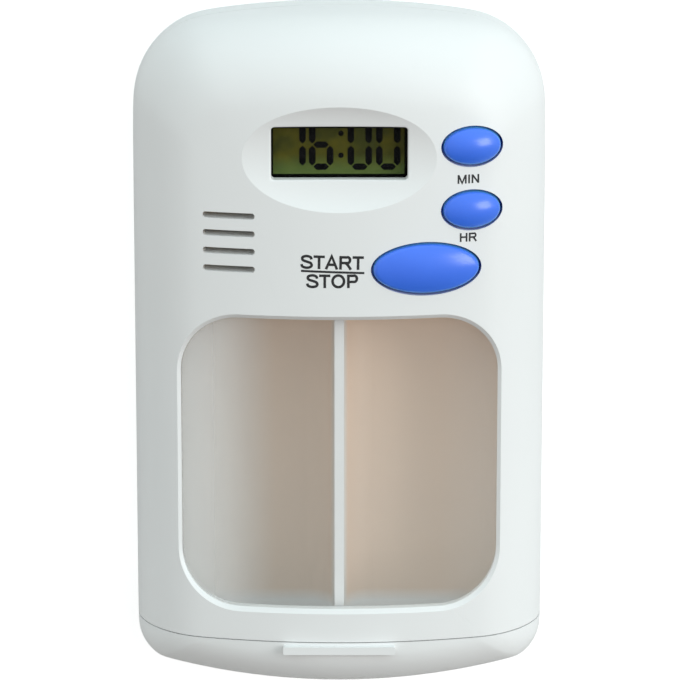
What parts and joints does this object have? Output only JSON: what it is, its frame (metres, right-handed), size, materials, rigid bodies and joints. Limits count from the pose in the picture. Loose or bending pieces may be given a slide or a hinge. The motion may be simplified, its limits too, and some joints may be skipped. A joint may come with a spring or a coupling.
{
  "type": "electronic pill box",
  "caption": "Pocket pill box with a sliding drawer of side-by-side compartments under a clear window, and a countdown timer with a display, oval push buttons and a sounder above it.",
  "frame": {"origin": "middle of the flat back, on the surface it lies on", "axes": "+Z out of the front, +Y towards the display end, +X towards the side with the small buttons"},
  "size_m": [0.057, 0.0942, 0.0232],
  "materials": {
    "white_plastic": "satin",
    "clear_plastic": "polished, clear",
    "blue_plastic": "satin",
    "display_glass": "polished",
    "reflector_film": "matt olive",
    "frame_plastic": "matt",
    "contact_rubber": "matt",
    "board_laminate": "solder mask",
    "black_resin": "semi-gloss",
    "tan_ceramic": "matt",
    "white_ceramic": "matt silvered",
    "nickel": "plated",
    "zinc_steel": "zinc plated",
    "brass": "bright"
  },
  "bodies": {
    "case": {"front_housing": "white_plastic", "rear_housing": "white_plastic", "pill_window": "clear_plastic", "display_lens": "clear_plastic", "lcd_front_glass": "display_glass", "lcd_rear_glass": "display_glass", "lcd_reflector": "reflector_film", "lcd_frame": "frame_plastic", "contact_rubber": "contact_rubber", "circuit_board": "board_laminate", "timer_chip": "black_resin", "quartz_crystal": "nickel", "resistors": "black_resin", "capacitors": "tan_ceramic", "switch_bodies": "black_resin", "sounder_disc": "brass", "sounder_ceramic": "white_ceramic", "sounder_contacts": "nickel", "lower_cell": "nickel", "upper_cell": "nickel", "contact_plate": "nickel", "battery_spring": "nickel", "battery_contact": "nickel", "housing_screws": "zinc_steel", "board_screws": "zinc_steel"},
    "drawer": {"pill_drawer": "white_plastic"},
    "minute_key": {"minute_button": "blue_plastic", "minute_plunger": "frame_plastic"},
    "hour_key": {"hour_button": "blue_plastic", "hour_plunger": "frame_plastic"},
    "start_key": {"start_button": "blue_plastic", "start_plunger": "frame_plastic"},
    "battery_hatch": {"battery_door": "white_plastic"}
  },
  "joints": [
    {"name": "drawer_slide", "type": "slide", "parent": "case", "child": "drawer", "axis": [0, -1, 0], "range_m": [0, 0.038]},
    {"name": "minute_press", "type": "slide", "parent": "case", "child": "minute_key", "axis": [0, 0, -1], "range_m": [0, 0.0005], "stiffness_N_per_m": 1500},
    {"name": "hour_press", "type": "slide", "parent": "case", "child": "hour_key", "axis": [0, 0, -1], "range_m": [0, 0.0005], "stiffness_N_per_m": 1500},
    {"name": "start_press", "type": "slide", "parent": "case", "child": "start_key", "axis": [0, 0, -1], "range_m": [0, 0.0005], "stiffness_N_per_m": 1500},
    {"name": "hatch_turn", "type": "hinge", "parent": "case", "child": "battery_hatch", "pos_m": [0, 0.0235, 0], "axis": [0, 0, -1], "range_deg": [0, 90]}
  ]
}
